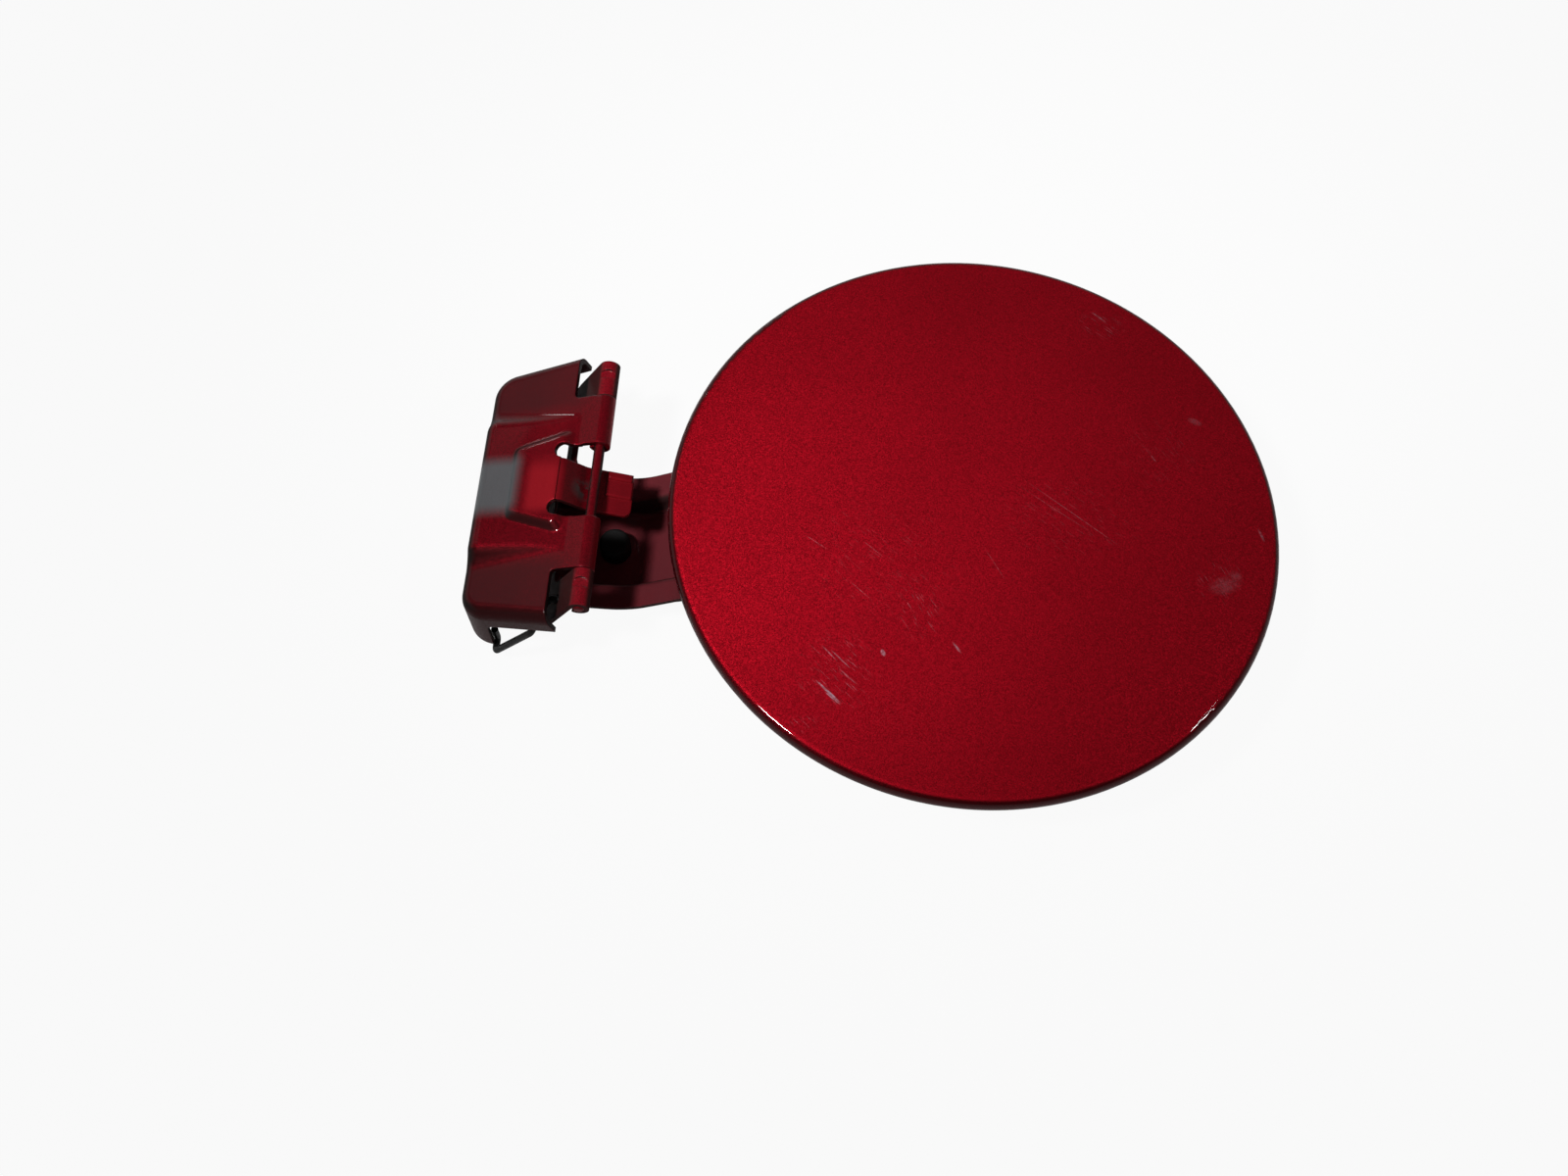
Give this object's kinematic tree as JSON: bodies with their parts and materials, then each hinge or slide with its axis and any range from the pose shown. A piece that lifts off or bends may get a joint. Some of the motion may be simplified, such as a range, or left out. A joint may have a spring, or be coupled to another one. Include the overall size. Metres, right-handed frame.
{
  "type": "car fuel door",
  "caption": "Round crowned car fuel door with a hemmed edge, carried on a pressed gooseneck arm that swings about a pin in a bolt-on pressed bracket",
  "frame": {"origin": "midway between the two bracket bolt holes, on the bracket's mounting face", "axes": "+X runs from the hinge to the panel, +Y along the hinge pin, +Z out of the car body through the panel's outer face"},
  "size_m": [0.2205, 0.165, 0.0471],
  "materials": {
    "red_paint": "metallic red under clear coat",
    "black_rubber": "matt black rubber",
    "black_plastic": "moulded black plastic",
    "black_wire": "black coated spring wire"
  },
  "bodies": {
    "bracket": {"hinge_bracket": "red_paint", "lid_spring": "black_wire"},
    "door": {"outer_panel": "red_paint", "inner_panel": "red_paint", "hinge_arm": "red_paint", "hinge_pin": "red_paint", "latch_striker": "red_paint", "edge_bumpers": "black_rubber", "stop_bumper": "black_rubber", "cap_hook": "black_plastic"}
  },
  "joints": [
    {"name": "door_swing", "type": "hinge", "parent": "bracket", "child": "door", "pos_m": [0.034, 0, 0.017], "axis": [0, -1, 0], "range_deg": [0, 85], "deforming": ["lid_spring"]}
  ]
}
